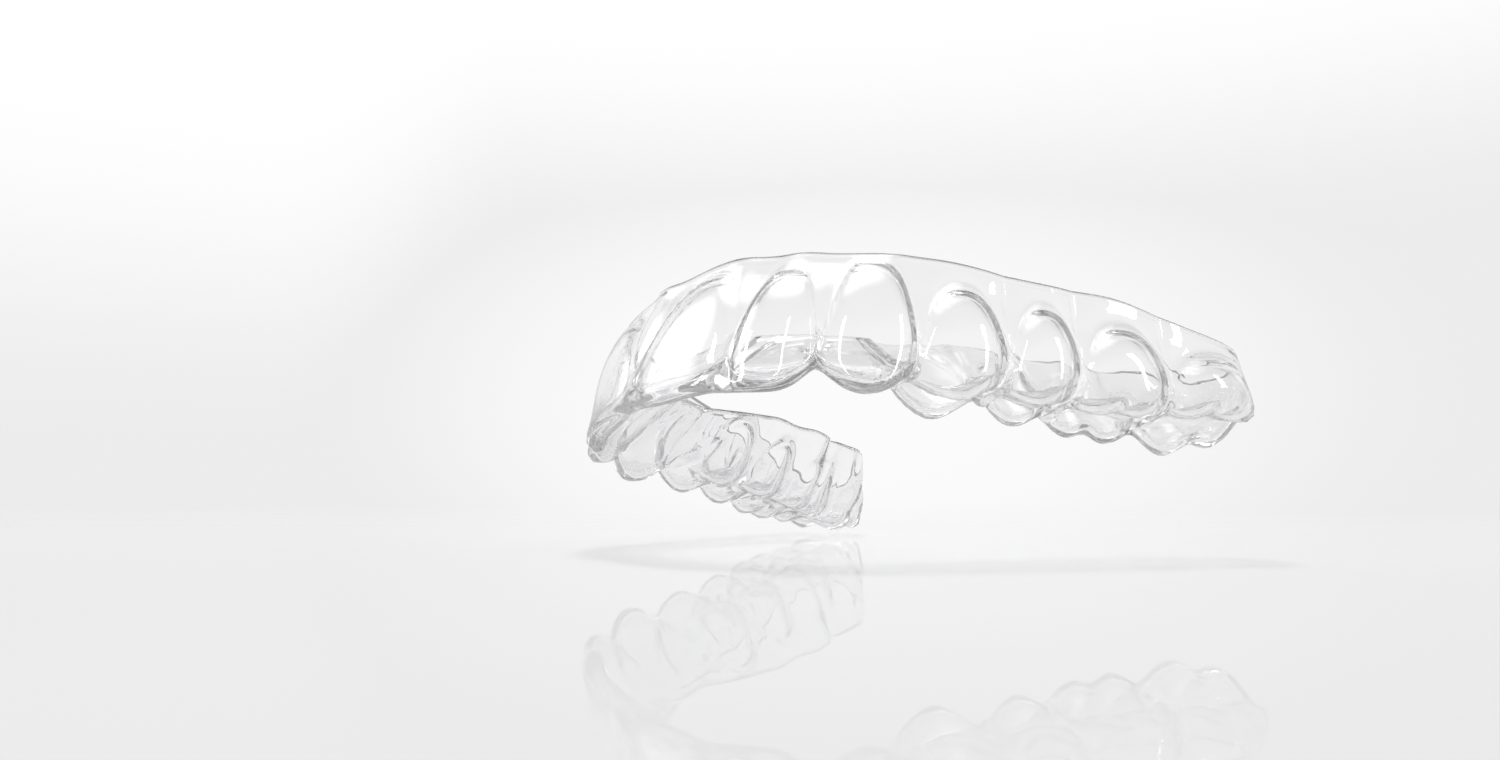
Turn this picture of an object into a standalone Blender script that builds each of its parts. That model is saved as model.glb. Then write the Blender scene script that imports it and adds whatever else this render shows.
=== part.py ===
"""Clear aligner: one thin thermoformed shell over fourteen upper teeth.

The inner face of the shell is the surface of the teeth and of the gum beside them. It is
given by a field: each crown, and the gum above it, is a rounded body in its tooth's own
frame, and all the bodies are blended together. The outer face is the same field, one sheet
thickness further out. Both faces are found along the same rays, so the wall has no folds.

Frame: metres, +X to the patient's left, -Y to the front (lips), +Z towards the gum.
The aligner lies on its cusps, with the origin at the bottom centre of its bounding box.
"""
import math
from collections import namedtuple

import bmesh
import bpy
import numpy as np

MM = 0.001

# Sheet
SHEET_THICKNESS = 0.65 * MM

# Widths of the crowns along the arch
CENTRAL_WIDTH = 10.5 * MM
LATERAL_WIDTH = 6.4 * MM
CANINE_WIDTH = 7.3 * MM
FIRST_PREMOLAR_WIDTH = 7.4 * MM
SECOND_PREMOLAR_WIDTH = 5.8 * MM
FIRST_MOLAR_WIDTH = 7.5 * MM
SECOND_MOLAR_WIDTH = 9.2 * MM

# Turn of the dental arch over each tooth, in degrees
CENTRAL_TURN = 22.0
LATERAL_TURN = 34.0
CANINE_TURN = 12.0
PREMOLAR_TURN = 0.4
MOLAR_TURN = 0.3
ARCH_SMOOTHING = 6.0 * MM

# Heights of the crowns, from the edge or cusp tip to the top of the gum line
CENTRAL_HEIGHT = 9.7 * MM
LATERAL_HEIGHT = 9.5 * MM
CANINE_HEIGHT = 10.3 * MM
FIRST_PREMOLAR_HEIGHT = 7.7 * MM
SECOND_PREMOLAR_HEIGHT = 6.7 * MM
FIRST_MOLAR_HEIGHT = 5.9 * MM
SECOND_MOLAR_HEIGHT = 3.8 * MM

# Edge or cusp tip above the bite plane
CENTRAL_LEVEL = 0.65 * MM
LATERAL_LEVEL = 0.1 * MM
CANINE_LEVEL = -0.1 * MM
PREMOLAR_LEVEL = 0.0 * MM
FIRST_MOLAR_LEVEL = -0.3 * MM
SECOND_MOLAR_LEVEL = 0.0 * MM

# Depths of the crowns at the gum, from the lip or cheek side to the palate side
INCISOR_DEPTH = 6.6 * MM
CANINE_DEPTH = 7.6 * MM
FIRST_PREMOLAR_DEPTH = 8.7 * MM
SECOND_PREMOLAR_DEPTH = 9.0 * MM
FIRST_MOLAR_DEPTH = 9.8 * MM
SECOND_MOLAR_DEPTH = 9.6 * MM

# Front teeth: lip face before the arch line, bulge of that face, lean of the face per height,
# and rise of the biting edge at the front and back contact
EDGE_DEPTH = 0.9 * MM
CENTRAL_FACE = 1.25 * MM
LATERAL_FACE = 1.0 * MM
CANINE_FACE = 1.0 * MM
CENTRAL_BULGE = 0.5 * MM
LATERAL_BULGE = 0.9 * MM
CANINE_BULGE = 0.9 * MM
BULGE_POWER = 1.3
CENTRAL_LEAN = 0.30
LATERAL_LEAN = 0.25
CANINE_LEAN = 0.18
CENTRAL_RISES = (0.5 * MM, -0.35 * MM)
LATERAL_RISES = (0.4 * MM, 1.9 * MM)
CANINE_RISES = (2.6 * MM, 2.2 * MM)
EDGE_CURVE_POWER = 2.2

# Back teeth: narrowing of the crown towards the cusps, lean and bulge of the cheek face
BACK_CROWN_TAPER = 1.6 * MM
BACK_LEAN = 0.06
BACK_BULGE = 0.5 * MM

# Cusps of the back teeth
CUSP_SLOPE = 0.62
CUSP_TIP_RADIUS = 1.0 * MM
CUSP_VALLEY_ROUNDING = 0.3 * MM
CHEEK_CUSP_INSET = 0.9 * MM
PALATE_CUSP_INSET = 2.2 * MM
PREMOLAR_PALATE_CUSP = 0.0 * MM
FIRST_MOLAR_PALATE_CUSPS = (-0.1 * MM, -0.4 * MM)
SECOND_MOLAR_PALATE_CUSPS = (-1.4 * MM, -0.5 * MM)
FIRST_PREMOLAR_SKEW = -0.03
SECOND_PREMOLAR_SKEW = 0.08
FIRST_MOLAR_SKEW = 0.10
SECOND_MOLAR_SKEW = 0.22
MOLAR_CUSP_SPREAD = 0.24

# Tip of each crown: how far its middle line moves back along the arch per height
CENTRAL_TIP = 0.25
LATERAL_TIP = 0.16
CANINE_TIP = 0.14
FIRST_PREMOLAR_TIP = 0.05
SECOND_PREMOLAR_TIP = 0.05
FIRST_MOLAR_TIP = 0.02
SECOND_MOLAR_TIP = -0.02
TIP_START = 0.15

# How far the palate side of a crown curves back towards its contacts
INCISOR_PALATE_ROUND = 0.6 * MM
PREMOLAR_PALATE_ROUND = 1.8 * MM
MOLAR_PALATE_ROUND = 1.0 * MM

# Gum
GUM_STEP = 0.75 * MM
PALATE_GUM_STEP = 0.4 * MM
PAPILLA_SHARE = 0.22
PALATE_GUM_SHARE = 0.76
PALATE_GUM_REACH = 0.8
PALATE_SLOPE = 0.30
PALATE_SLOPE_START = 0.6
PALATE_ROUND_START = 1.3
PALATE_ROUND_LOSS = 1.1
NECK_TAPER = 0.44
NECK_START = 0.15
GUM_ARCH_POWER = 1.25

# Trim line above the gum line on the lip side, at each tooth, and past the last tooth
CENTRAL_MARGIN = 1.9 * MM
LATERAL_MARGIN = 1.9 * MM
CANINE_MARGIN = 1.3 * MM
FIRST_PREMOLAR_MARGIN = 3.1 * MM
SECOND_PREMOLAR_MARGIN = 3.0 * MM
FIRST_MOLAR_MARGIN = 3.6 * MM
SECOND_MOLAR_MARGIN = 2.8 * MM
END_TRIM_DROP = 1.2 * MM

# Trim line on the palate side, above the bite plane
FRONT_PALATE_TRIM = 6.5 * MM
BACK_PALATE_TRIM = 7.6 * MM

# Blends
EDGE_ROUNDING = 0.28 * MM
CROWN_ROUNDING = 0.55 * MM
NECK_ROUNDING = 0.5 * MM
UNION_ROUNDING = 0.28 * MM
GUM_UNION_ROUNDING = 0.9 * MM
GUM_WAVE = 0.8 * MM
END_BOW = 2.6 * MM
END_BOW_LIMIT = 1.5
CONTACT_OVERLAP = 0.30 * MM
FACE_ROUNDING = 0.95 * MM
EDGE_TURN_BACK = 0.6 * MM
CORNER_ROUNDING = 0.45 * MM
CROWN_SIDE_GAP = 0.12 * MM
GROOVE_DEPTH = 1.1 * MM
PALATE_GROOVE_SHARE = 0.6
MOLAR_LOBE_GROOVE = 0.6 * MM
MOLAR_LOBE_GROOVE_WIDTH = 0.9 * MM
CONTACT_HALF_DEPTH = 1.0 * MM
FACE_TURN_END = 1.15
FACE_TURN_POWER = 2.6
SWELL_END = 0.80
SWELL_STEEPNESS = 3.0
PALATE_LEAN_SHARE = 0.5
HIGHEST_SHARE = 1.2
EMBRASURE_FLARE = 0.06
END_LEAN = 0.22

# Middle line of the trough, from which the wall is measured out. For a front tooth: how far it
# lies behind the arch line and above the biting edge, and how far it leans back per height.
CENTRAL_CORE = (0.2 * MM, 2.3 * MM)
LATERAL_CORE = (0.6 * MM, 2.8 * MM)
CANINE_CORE = (0.8 * MM, 3.2 * MM)
FRONT_CORE_LEAN = 0.42
BACK_CORE_HEIGHT = 4.2 * MM
CORE_SMOOTHING = 2.0 * MM
TIP_SMOOTHING = 4.0 * MM
LIP_TRIM_SMOOTHING = 3.0 * MM
PALATE_TRIM_SMOOTHING = 5.0 * MM
PALATE_TRIM_END_DROP = 0.8 * MM
LAST_SECTION_SHARE = 0.42
SMALLEST_SECTION_GAP = 0.3 * MM
MIRRORED_TEETH = 2
CURVE_SAMPLES = 4001
ARCH_SAMPLES = 1001
SETTLE_ROUNDS = 4
SHARP_ANGLE = 60.0
LONGEST_RAY = 14.0 * MM
RAY_STEPS = 70
HALVINGS = 22

# Facets
COLUMN_STOPS = (0.0, 0.06, 0.18, 0.34, 0.50, 0.66, 0.82, 0.94)
WALL_ROWS = 6
TURN_ROWS = 5
END_COLUMNS = 8

Tooth = namedtuple("Tooth", "width turn height level tip depth edge_depth face lean bulge "
                            "rounding palate_round skew rise_front rise_back cusps core_inset "
                            "core_height core_lean margin")


def back_tooth(width, turn, height, level, tip, depth, along, palate_rises, skew, margin):
    """A premolar or molar, with cusps at `along` shares of its width on both sides."""
    face = CHEEK_CUSP_INSET
    inner = face + PALATE_CUSP_INSET - depth
    cusps = [(share * width, 0.0, 0.0) for share in along]
    cusps += [(share * width, inner, rise) for share, rise in zip(along, palate_rises)]
    one = len(along) == 1
    return Tooth(width, turn, height, level, tip, depth, depth - BACK_CROWN_TAPER, face,
                 BACK_LEAN, BACK_BULGE, CROWN_ROUNDING,
                 PREMOLAR_PALATE_ROUND if one else MOLAR_PALATE_ROUND, skew, 0.0, 0.0, cusps,
                 0.5 * depth - face, BACK_CORE_HEIGHT, 0.0, margin)


def front_tooth(width, turn, height, level, tip, depth, face, bulge, lean, rises, core, margin):
    """An incisor or canine: a thin edge that rises towards the contacts."""
    return Tooth(width, turn, height, level, tip, depth, EDGE_DEPTH, face, lean, bulge,
                 EDGE_ROUNDING, INCISOR_PALATE_ROUND, 0.0, rises[0], rises[1], [],
                 core[0], core[1], FRONT_CORE_LEAN, margin)


TEETH = (
    front_tooth(CENTRAL_WIDTH, CENTRAL_TURN, CENTRAL_HEIGHT, CENTRAL_LEVEL, CENTRAL_TIP,
                INCISOR_DEPTH, CENTRAL_FACE, CENTRAL_BULGE, CENTRAL_LEAN, CENTRAL_RISES,
                CENTRAL_CORE, CENTRAL_MARGIN),
    front_tooth(LATERAL_WIDTH, LATERAL_TURN, LATERAL_HEIGHT, LATERAL_LEVEL, LATERAL_TIP,
                INCISOR_DEPTH, LATERAL_FACE, LATERAL_BULGE, LATERAL_LEAN, LATERAL_RISES,
                LATERAL_CORE, LATERAL_MARGIN),
    front_tooth(CANINE_WIDTH, CANINE_TURN, CANINE_HEIGHT, CANINE_LEVEL, CANINE_TIP,
                CANINE_DEPTH, CANINE_FACE, CANINE_BULGE, CANINE_LEAN, CANINE_RISES,
                CANINE_CORE, CANINE_MARGIN),
    back_tooth(FIRST_PREMOLAR_WIDTH, PREMOLAR_TURN, FIRST_PREMOLAR_HEIGHT, PREMOLAR_LEVEL,
               FIRST_PREMOLAR_TIP, FIRST_PREMOLAR_DEPTH, (0.0,), (PREMOLAR_PALATE_CUSP,),
               FIRST_PREMOLAR_SKEW, FIRST_PREMOLAR_MARGIN),
    back_tooth(SECOND_PREMOLAR_WIDTH, PREMOLAR_TURN, SECOND_PREMOLAR_HEIGHT, PREMOLAR_LEVEL,
               SECOND_PREMOLAR_TIP, SECOND_PREMOLAR_DEPTH, (0.0,), (PREMOLAR_PALATE_CUSP,),
               SECOND_PREMOLAR_SKEW, SECOND_PREMOLAR_MARGIN),
    back_tooth(FIRST_MOLAR_WIDTH, MOLAR_TURN, FIRST_MOLAR_HEIGHT, FIRST_MOLAR_LEVEL,
               FIRST_MOLAR_TIP, FIRST_MOLAR_DEPTH, (-MOLAR_CUSP_SPREAD, MOLAR_CUSP_SPREAD),
               FIRST_MOLAR_PALATE_CUSPS, FIRST_MOLAR_SKEW, FIRST_MOLAR_MARGIN),
    back_tooth(SECOND_MOLAR_WIDTH, MOLAR_TURN, SECOND_MOLAR_HEIGHT, SECOND_MOLAR_LEVEL,
               SECOND_MOLAR_TIP, SECOND_MOLAR_DEPTH, (-MOLAR_CUSP_SPREAD, MOLAR_CUSP_SPREAD),
               SECOND_MOLAR_PALATE_CUSPS, SECOND_MOLAR_SKEW, SECOND_MOLAR_MARGIN),
)


def soft_max(terms, radius):
    """The largest of the terms, with the corners between them rounded."""
    top = np.maximum.reduce(terms)
    return top + radius * np.log(sum(np.exp((term - top) / radius) for term in terms))


def soft_min(terms, radius):
    return -soft_max([-term for term in terms], radius)


def smooth_step(value):
    share = np.clip(value, 0.0, 1.0)
    return share * share * (3.0 - 2.0 * share)


def running_mean(knots, values, window, mirror):
    """Straight lines through the knots, averaged over the window. mirror is 1 for a curve that
    is even about the midline and -1 for an odd one."""
    reach = knots[-1] + window
    s = np.linspace(-reach, reach, CURVE_SAMPLES)
    line = np.interp(np.abs(s), knots, values)
    line = np.where(s < 0.0, mirror * line, line)
    area = np.concatenate([[0.0], np.cumsum(0.5 * (line[1:] + line[:-1]) * np.diff(s))])

    def curve(at):
        at = np.clip(at, -reach + 0.5 * window, reach - 0.5 * window)
        upper = np.interp(at + 0.5 * window, s, area)
        lower = np.interp(at - 0.5 * window, s, area)
        return (upper - lower) / window
    return curve


CONTACTS = np.concatenate([[0.0], np.cumsum([tooth.width for tooth in TEETH])])
CENTRES = 0.5 * (CONTACTS[1:] + CONTACTS[:-1])
ARCH_LENGTH = CONTACTS[-1]


def make_arch():
    """The arch line through the biting edges, as a function of the length along it."""
    headings = np.concatenate([[0.0], np.cumsum([tooth.turn for tooth in TEETH])])
    heading = running_mean(CONTACTS, np.radians(headings), ARCH_SMOOTHING, -1)
    s = np.linspace(0.0, ARCH_LENGTH, ARCH_SAMPLES)
    angle = heading(s)
    step = s[1] - s[0]
    x = np.concatenate([[0.0], np.cumsum(np.cos(0.5 * (angle[1:] + angle[:-1])) * step)])
    y = np.concatenate([[0.0], np.cumsum(np.sin(0.5 * (angle[1:] + angle[:-1])) * step)])

    def frame(at):
        turn = heading(at)
        return np.interp(at, s, x), np.interp(at, s, y), turn
    return frame


arch_frame = make_arch()


def edge_height(tooth, along, across):
    """Height of the biting surface above the tip of the tooth."""
    half = 0.5 * tooth.width
    if tooth.cusps:
        cones = []
        for cusp_along, cusp_across, rise in tooth.cusps:
            away = np.sqrt((along - cusp_along) ** 2 + (across - cusp_across) ** 2
                           + CUSP_TIP_RADIUS ** 2) - CUSP_TIP_RADIUS
            cones.append(rise + CUSP_SLOPE * away)
        return soft_min(cones, CUSP_VALLEY_ROUNDING)
    rise = np.where(along < 0.0, tooth.rise_front, tooth.rise_back)
    return rise * np.abs(along / half) ** EDGE_CURVE_POWER


def crown_and_gum(tooth, along, across, height):
    """Field of one crown and of the gum above it, in the tooth's own frame."""
    inward = np.maximum(-across - CONTACT_HALF_DEPTH, 0.0)
    along = along - tooth.skew * inward
    half = 0.5 * tooth.width
    share = np.clip(height / tooth.height, 0.0, HIGHEST_SHARE)
    tipped = along - tooth.tip * np.clip(height - TIP_START * tooth.height, 0.0, tooth.height)
    beside = (tipped / half) ** 2
    turned = np.minimum(np.abs(tipped / half), FACE_TURN_END) ** FACE_TURN_POWER
    sag = 0.5 * along ** 2 * math.radians(tooth.turn) / tooth.width
    wall = tooth.face - tooth.lean * height

    bulge = tooth.bulge * np.sin(math.pi * np.clip(share, 0.0, 1.0) ** BULGE_POWER)
    face = across - wall - bulge

    ramp = smooth_step(share / SWELL_END)
    ramp_slope = np.sqrt(ramp * (1.0 - ramp)) * SWELL_STEEPNESS / (SWELL_END * tooth.height)
    swell = tooth.depth - tooth.edge_depth
    palate_lean = PALATE_LEAN_SHARE * tooth.lean
    palate_face = tooth.face - tooth.edge_depth - swell * ramp - palate_lean * height
    if not tooth.cusps:
        palate_face -= EDGE_TURN_BACK * turned * (1.0 - ramp)
    if len(tooth.cusps) == 4:
        palate_face += MOLAR_LOBE_GROOVE * np.exp(-(along / MOLAR_LOBE_GROOVE_WIDTH) ** 2)
    slope = swell * ramp_slope + palate_lean
    back = (palate_face - across) / np.sqrt(1.0 + slope ** 2)

    arch_side = (np.abs(along) - half - CONTACT_OVERLAP
                 + math.tan(math.radians(0.5 * tooth.turn)) * inward)
    neck = half * NECK_TAPER * smooth_step((share - NECK_START) / (1.0 - NECK_START))
    drawn_in = np.maximum(np.abs(tipped) - np.abs(along) + neck, 0.0)
    side = arch_side + drawn_in + EMBRASURE_FLARE * inward + CROWN_SIDE_GAP

    biting = edge_height(tooth, along, across) - height
    palate_share = smooth_step(-across / (PALATE_GUM_REACH * tooth.depth))
    top = tooth.height * (1.0 - (1.0 - PALATE_GUM_SHARE) * palate_share)
    papilla = PAPILLA_SHARE * tooth.height
    gum_line = top - (top - papilla) * np.minimum(beside, 1.0) ** GUM_ARCH_POWER
    front = soft_max([face + FACE_ROUNDING * turned, side], CORNER_ROUNDING)
    crown = soft_max([front, back + tooth.palate_round * beside, biting], tooth.rounding)
    crown = soft_max([crown, height - gum_line], NECK_ROUNDING)
    filler = soft_max([face + GROOVE_DEPTH, back + PALATE_GROOVE_SHARE * tooth.palate_round,
                       arch_side, biting + GROOVE_DEPTH], CROWN_ROUNDING)

    gum_face = across - wall + sag + GUM_STEP + GUM_WAVE * np.minimum(beside, 1.0)
    gum_back = (back + PALATE_GUM_STEP
                - PALATE_SLOPE * np.maximum(height - PALATE_SLOPE_START * tooth.height, 0.0)
                + tooth.palate_round * np.minimum(beside, 1.0)
                * smooth_step(PALATE_ROUND_START - PALATE_ROUND_LOSS * share))
    gum = soft_max([gum_face, gum_back, arch_side, gum_line - height], CROWN_ROUNDING)
    return soft_min([crown, filler], UNION_ROUNDING), gum


def body_field(x, y, z):
    """Distance-like field of the teeth and gum: negative inside, positive outside."""
    crowns, gums = [], []
    for index, (tooth, centre) in enumerate(zip(TEETH, CENTRES)):
        ox, oy, turn = arch_frame(centre)
        for mirror in ((1.0, -1.0) if index < MIRRORED_TEETH else (1.0,)):
            dx = mirror * x - ox
            dy = y - oy
            along = dx * math.cos(turn) + dy * math.sin(turn)
            across = dx * math.sin(turn) - dy * math.cos(turn)
            crown, gum = crown_and_gum(tooth, along, across, z - tooth.level - SHEET_THICKNESS)
            crowns.append(crown)
            gums.append(gum)
    body = soft_min(crowns + [soft_min(gums, GUM_UNION_ROUNDING)], UNION_ROUNDING)
    middle = tooth.face - 0.5 * tooth.depth
    from_middle = (across - middle) / (0.5 * tooth.depth)
    bow = END_BOW * np.clip(from_middle, -END_BOW_LIMIT, END_BOW_LIMIT) ** 2
    end = along - 0.5 * tooth.width - CONTACT_OVERLAP + bow + END_LEAN * z
    return soft_max([body, end], CROWN_ROUNDING)


def hit(origin, direction, level):
    """Where each ray from inside the body first meets the given level of the field."""
    lengths = np.linspace(0.0, LONGEST_RAY, RAY_STEPS + 1)
    low = np.zeros(origin.shape[:-1])
    high = np.full(origin.shape[:-1], LONGEST_RAY)
    open_ray = np.ones(origin.shape[:-1], bool)
    for start, stop in zip(lengths[:-1], lengths[1:]):
        point = origin + stop * direction
        outside = body_field(point[..., 0], point[..., 1], point[..., 2]) > level
        found = open_ray & outside
        low[found] = start
        high[found] = stop
        open_ray &= ~outside
    for _ in range(HALVINGS):
        middle = 0.5 * (low + high)
        point = origin + middle[..., None] * direction
        outside = body_field(point[..., 0], point[..., 1], point[..., 2]) > level
        high = np.where(outside, middle, high)
        low = np.where(outside, low, middle)
    return origin + (0.5 * (low + high))[..., None] * direction


LIP_TRIM_HEIGHTS = [tooth.level + tooth.height + tooth.margin for tooth in TEETH]
LIP_TRIM_HEIGHTS = (LIP_TRIM_HEIGHTS[:1] + LIP_TRIM_HEIGHTS
                    + [LIP_TRIM_HEIGHTS[-1] - END_TRIM_DROP])
PALATE_TRIM_HEIGHTS = [FRONT_PALATE_TRIM, FRONT_PALATE_TRIM, BACK_PALATE_TRIM,
                       BACK_PALATE_TRIM - PALATE_TRIM_END_DROP]
CORE_HEIGHTS = [tooth.level + SHEET_THICKNESS + tooth.core_height for tooth in TEETH]
lip_trim = running_mean(np.concatenate([[0.0], CENTRES, [ARCH_LENGTH]]), LIP_TRIM_HEIGHTS,
                        LIP_TRIM_SMOOTHING, 1)
palate_trim = running_mean([0.0, CONTACTS[3], CONTACTS[4], ARCH_LENGTH], PALATE_TRIM_HEIGHTS,
                           PALATE_TRIM_SMOOTHING, 1)
column_tip = running_mean(np.concatenate([[0.0], CENTRES]), [0.0] + [tooth.tip for tooth in TEETH],
                          TIP_SMOOTHING, -1)
core_inset = running_mean(CENTRES, [tooth.core_inset for tooth in TEETH], CORE_SMOOTHING, 1)
core_height = running_mean(CENTRES, CORE_HEIGHTS, CORE_SMOOTHING, 1)
core_lean = running_mean(CENTRES, [tooth.core_lean for tooth in TEETH], CORE_SMOOTHING, 1)
LAST_SECTION = ARCH_LENGTH - LAST_SECTION_SHARE * SECOND_MOLAR_DEPTH


def section_rays(s, spin, trim, wall_rows, turn_rows):
    """Rays of half a section: down the wall from the trim line, then round to straight down.
    spin turns the half section about the core, from 0 on the lip side to pi on the palate side."""
    low = core_height(s)
    origins, directions = [], []
    for row in range(wall_rows + turn_rows + 1):
        z = low + (trim - low) * max(1.0 - row / wall_rows, 0.0)
        ox, oy, turn = arch_frame(s + column_tip(s) * (z - low) * max(math.cos(spin), 0.0))
        flat_x = math.cos(spin) * math.sin(turn) + math.sin(spin) * math.cos(turn)
        flat_y = -math.cos(spin) * math.cos(turn) + math.sin(spin) * math.sin(turn)
        dip = 0.5 * math.pi * max(row - wall_rows, 0) / turn_rows
        inset = core_inset(s) + core_lean(s) * (z - low)
        origins.append((ox - inset * math.sin(turn), oy + inset * math.cos(turn), z))
        directions.append((flat_x * math.cos(dip), flat_y * math.cos(dip), -math.sin(dip)))
    return origins, directions


def half_grid(stops, wall_rows, turn_rows, end_columns):
    """Rays of the left half: full sections from the midline back, then the fan round the end."""
    places = [CONTACTS[i] + stop * TEETH[i].width for i in range(len(TEETH)) for stop in stops]
    last = LAST_SECTION - SMALLEST_SECTION_GAP
    places = [place for place in places if place < last] + [LAST_SECTION]
    sections = []
    for s in places:
        lip = section_rays(s, 0.0, lip_trim(s), wall_rows, turn_rows)
        palate = section_rays(s, math.pi, palate_trim(s), wall_rows, turn_rows)
        sections.append([lip[i] + palate[i][-2::-1] for i in range(2)])
    fan = []
    for column in range(1, end_columns):
        share = column / end_columns
        trim = (1.0 - share) * lip_trim(LAST_SECTION) + share * palate_trim(LAST_SECTION)
        trim -= END_TRIM_DROP * math.sin(math.pi * share)
        rays = section_rays(LAST_SECTION, math.pi * share, trim, wall_rows, turn_rows)
        fan.append([rays[i][:-1] for i in range(2)])
    return np.array(sections), np.array(fan)


def surface_points(sections, fan, level):
    """Points of one face of the shell on both halves, and the index of each point."""
    on_sections = hit(sections[:, 0], sections[:, 1], level)
    on_fan = hit(fan[:, 0], fan[:, 1], level)
    on_sections[0, :, 0] = 0.0
    mirror = np.array([-1.0, 1.0, 1.0])
    grid = np.concatenate([(on_sections * mirror)[:0:-1], on_sections])
    points = np.concatenate([grid.reshape(-1, 3), on_fan.reshape(-1, 3),
                             (on_fan * mirror).reshape(-1, 3)])
    columns, rows = grid.shape[:2]
    index = np.arange(columns * rows).reshape(columns, rows)
    count = on_fan.shape[0] * on_fan.shape[1]
    ends = [columns * rows + side * count + np.arange(count).reshape(on_fan.shape[:2])
            for side in range(2)]
    return points, index, ends


def surface_faces(index, ends):
    """Faces of one face of the shell, and the closed loop of its trim line."""
    faces = []
    columns, rows = index.shape
    for c in range(columns - 1):
        for r in range(rows - 1):
            faces.append((index[c, r], index[c + 1, r], index[c + 1, r + 1], index[c, r + 1]))
    middle = rows // 2
    rims = []
    for section, end in ((index[-1], ends[0]), (index[0], ends[1])):
        fan = [section[:middle]] + list(end) + [section[:middle:-1]]
        for first, second in zip(fan[:-1], fan[1:]):
            for r in range(middle - 1):
                faces.append((first[r], second[r], second[r + 1], first[r + 1]))
            faces.append((first[-1], second[-1], section[middle]))
        rims.append([column[0] for column in fan[1:-1]])
    loop = list(index[:, 0]) + rims[0] + list(index[::-1, -1]) + rims[1][::-1]
    return faces, loop


def settle(points):
    """Tip the aligner about X onto its cusps and move its origin to the bottom centre."""
    centre = points[:, 1].mean()
    for _ in range(SETTLE_ROUNDS):
        fore = points[points[:, 1] < centre]
        aft = points[points[:, 1] >= centre]
        front = fore[fore[:, 2].argmin()]
        rear = aft[aft[:, 2].argmin()]
        tilt = math.atan2(rear[2] - front[2], rear[1] - front[1])
        y = points[:, 1] * math.cos(tilt) + points[:, 2] * math.sin(tilt)
        z = points[:, 2] * math.cos(tilt) - points[:, 1] * math.sin(tilt)
        points = np.stack([points[:, 0], y, z], axis=1)
        centre = y.mean()
    low = points.min(axis=0)
    high = points.max(axis=0)
    return points - np.array([0.0, 0.5 * (low[1] + high[1]), low[2]])


def shell_mesh(stops, wall_rows, turn_rows, end_columns):
    """Points and faces of the whole closed shell."""
    sections, fan = half_grid(stops, wall_rows, turn_rows, end_columns)
    inner, index, ends = surface_points(sections, fan, 0.0)
    outer, _, _ = surface_points(sections, fan, SHEET_THICKNESS)
    faces, loop = surface_faces(index, ends)
    count = len(inner)
    outer_faces = [tuple(i + count for i in face) for face in faces]
    rim = [(a, b, b + count, a + count) for a, b in zip(loop, loop[1:] + loop[:1])]
    points = settle(np.concatenate([inner, outer]))
    return points, faces + outer_faces + rim


# Blender objects
def remove_old_objects():
    for old in list(bpy.data.objects):
        bpy.data.objects.remove(old)


def clear_plastic():
    """Material of the sheet: clear, glossy plastic."""
    material = bpy.data.materials.new("clear_plastic")
    material.use_nodes = True
    shader = material.node_tree.nodes["Principled BSDF"]
    shader.inputs["Base Color"].default_value = (0.95, 0.96, 0.97, 1.0)
    shader.inputs["Roughness"].default_value = 0.05
    shader.inputs["Metallic"].default_value = 0.0
    shader.inputs["IOR"].default_value = 1.5
    shader.inputs["Transmission Weight"].default_value = 1.0
    return material


def build_aligner():
    points, faces = shell_mesh(COLUMN_STOPS, WALL_ROWS, TURN_ROWS, END_COLUMNS)
    mesh = bpy.data.meshes.new("aligner_shell")
    mesh.from_pydata(points.tolist(), [], [[int(i) for i in face] for face in faces])
    shape = bmesh.new()
    shape.from_mesh(mesh)
    bmesh.ops.recalc_face_normals(shape, faces=shape.faces)
    shape.to_mesh(mesh)
    shape.free()
    mesh.shade_smooth()
    mesh.set_sharp_from_angle(angle=math.radians(SHARP_ANGLE))
    mesh.materials.append(clear_plastic())
    aligner = bpy.data.objects.new("aligner_shell", mesh)
    bpy.context.collection.objects.link(aligner)
    return aligner


remove_old_objects()
build_aligner()
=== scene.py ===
"""Looks of the clear aligner: fine shell, clear sheet material, studio, floor and camera."""

import math
from collections import namedtuple

import bmesh
import bpy
import numpy as np
from mathutils import Matrix, Vector


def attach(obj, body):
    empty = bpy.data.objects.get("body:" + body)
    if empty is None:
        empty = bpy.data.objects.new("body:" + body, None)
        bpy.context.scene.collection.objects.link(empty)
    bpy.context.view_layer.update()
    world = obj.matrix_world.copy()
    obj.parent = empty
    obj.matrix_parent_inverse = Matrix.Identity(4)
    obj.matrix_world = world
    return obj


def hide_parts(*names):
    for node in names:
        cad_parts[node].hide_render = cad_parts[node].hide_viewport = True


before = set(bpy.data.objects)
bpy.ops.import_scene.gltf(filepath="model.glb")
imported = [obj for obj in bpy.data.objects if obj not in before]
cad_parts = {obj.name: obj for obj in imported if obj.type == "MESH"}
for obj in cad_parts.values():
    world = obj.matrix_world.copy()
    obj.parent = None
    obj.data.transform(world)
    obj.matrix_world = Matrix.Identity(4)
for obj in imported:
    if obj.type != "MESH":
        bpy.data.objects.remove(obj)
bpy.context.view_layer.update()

MM = 0.001

# Sheet
SHEET_THICKNESS = 0.65 * MM

# Widths of the crowns along the arch
CENTRAL_WIDTH = 10.5 * MM
LATERAL_WIDTH = 6.4 * MM
CANINE_WIDTH = 7.3 * MM
FIRST_PREMOLAR_WIDTH = 7.4 * MM
SECOND_PREMOLAR_WIDTH = 5.8 * MM
FIRST_MOLAR_WIDTH = 7.5 * MM
SECOND_MOLAR_WIDTH = 9.2 * MM

# Turn of the dental arch over each tooth, in degrees
CENTRAL_TURN = 22.0
LATERAL_TURN = 34.0
CANINE_TURN = 12.0
PREMOLAR_TURN = 0.4
MOLAR_TURN = 0.3
ARCH_SMOOTHING = 6.0 * MM

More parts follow.
